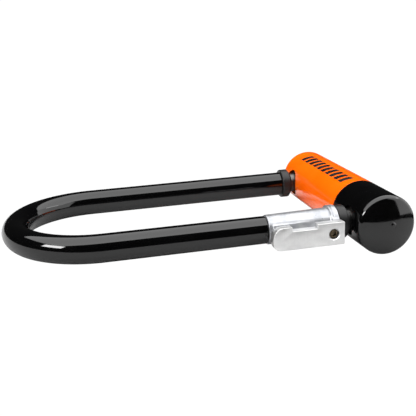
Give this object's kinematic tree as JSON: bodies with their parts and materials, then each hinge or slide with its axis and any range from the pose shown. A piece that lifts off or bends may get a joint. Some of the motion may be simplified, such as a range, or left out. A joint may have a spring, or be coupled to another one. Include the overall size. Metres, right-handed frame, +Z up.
{
  "type": "u lock",
  "caption": "Compact bicycle U-lock: coated steel shackle with a folding axle extender, and a round two-colour crossbar with a key cylinder and deadbolts.",
  "frame": {"origin": "on the surface that the lock lies on, under the middle of its bounding box", "axes": "+X towards the crossbar, +Y along the crossbar away from the leg with the extender, +Z up. The lock lies on its crossbar and on its bend, so the shackle plane rises 2.68 degrees towards +X"},
  "size_m": [0.2406, 0.1422, 0.0365],
  "materials": {
    "black_vinyl": "smooth gloss-black vinyl, lightly scuffed",
    "orange_vinyl": "smooth satin-gloss orange vinyl",
    "dark_rubber": "matte dark grey rubber",
    "cast_aluminium": "machined and tumbled bare casting",
    "hardened_steel": "bare hardened steel",
    "cylinder_brass": "turned brass",
    "yellow_zinc": "yellow zinc plated steel",
    "zinc_body": "die-cast lock body, satin",
    "black_plastic": "fine-textured moulded plastic"
  },
  "bodies": {
    "crossbar": {"crossbar_tube": "hardened_steel", "orange_cover": "orange_vinyl", "black_cover": "black_vinyl", "end_plug_far": "hardened_steel", "end_plug_near": "hardened_steel", "lock_body": "zinc_body", "body_pin_far": "hardened_steel", "body_pin_near": "hardened_steel", "cylinder_housing": "cylinder_brass", "keyway_bezel": "black_plastic"},
    "key_core": {"cylinder_core": "cylinder_brass", "anti_drill_plate": "hardened_steel", "sidebar": "hardened_steel", "drive_cam": "hardened_steel", "disc_1": "hardened_steel", "disc_2": "hardened_steel", "disc_3": "hardened_steel", "disc_4": "hardened_steel", "disc_5": "hardened_steel", "disc_6": "hardened_steel"},
    "deadbolt_far": {"deadbolt_far": "hardened_steel"},
    "deadbolt_near": {"deadbolt_near": "hardened_steel"},
    "dust_cover": {"dust_cover": "hardened_steel"},
    "shackle": {"shackle_bar": "hardened_steel", "shackle_coating": "black_vinyl", "far_leg_collar": "dark_rubber", "near_leg_collar": "dark_rubber", "extender_sleeve": "cast_aluminium", "pivot_screw": "yellow_zinc", "pivot_washer": "hardened_steel"},
    "extender_arm": {"extender_arm": "cast_aluminium"}
  },
  "joints": [
    {"name": "shackle_slide", "type": "slide", "parent": "crossbar", "child": "shackle", "axis": [-0.9989, 0, -0.0467], "range_m": [0, 0.045]},
    {"name": "bolt_far_slide", "type": "slide", "parent": "crossbar", "child": "deadbolt_far", "axis": [0, 1, 0], "range_m": [0, 0.00566]},
    {"name": "key_turn", "type": "hinge", "parent": "crossbar", "child": "key_core", "pos_m": [0.10171, 0, 0.01825], "axis": [-0.9989, 0, -0.0467], "range_deg": [0, 90]},
    {"name": "bolt_near_slide", "type": "slide", "parent": "crossbar", "child": "deadbolt_near", "axis": [0, -1, 0], "range_m": [0, 0.0057]},
    {"name": "dust_cover_slide", "type": "slide", "parent": "crossbar", "child": "dust_cover", "axis": [0, 1, 0], "range_m": [0, 0.0122]},
    {"name": "extender_swing", "type": "hinge", "parent": "shackle", "child": "extender_arm", "pos_m": [0.06954, -0.0598, 0.01464], "axis": [0, 1, 0], "range_deg": [0, 90]}
  ],
  "couplings": [
    {"joint": "key_turn", "follows": "bolt_far_slide", "rad_per_m": 277.68},
    {"joint": "bolt_near_slide", "follows": "bolt_far_slide", "ratio": 1}
  ]
}
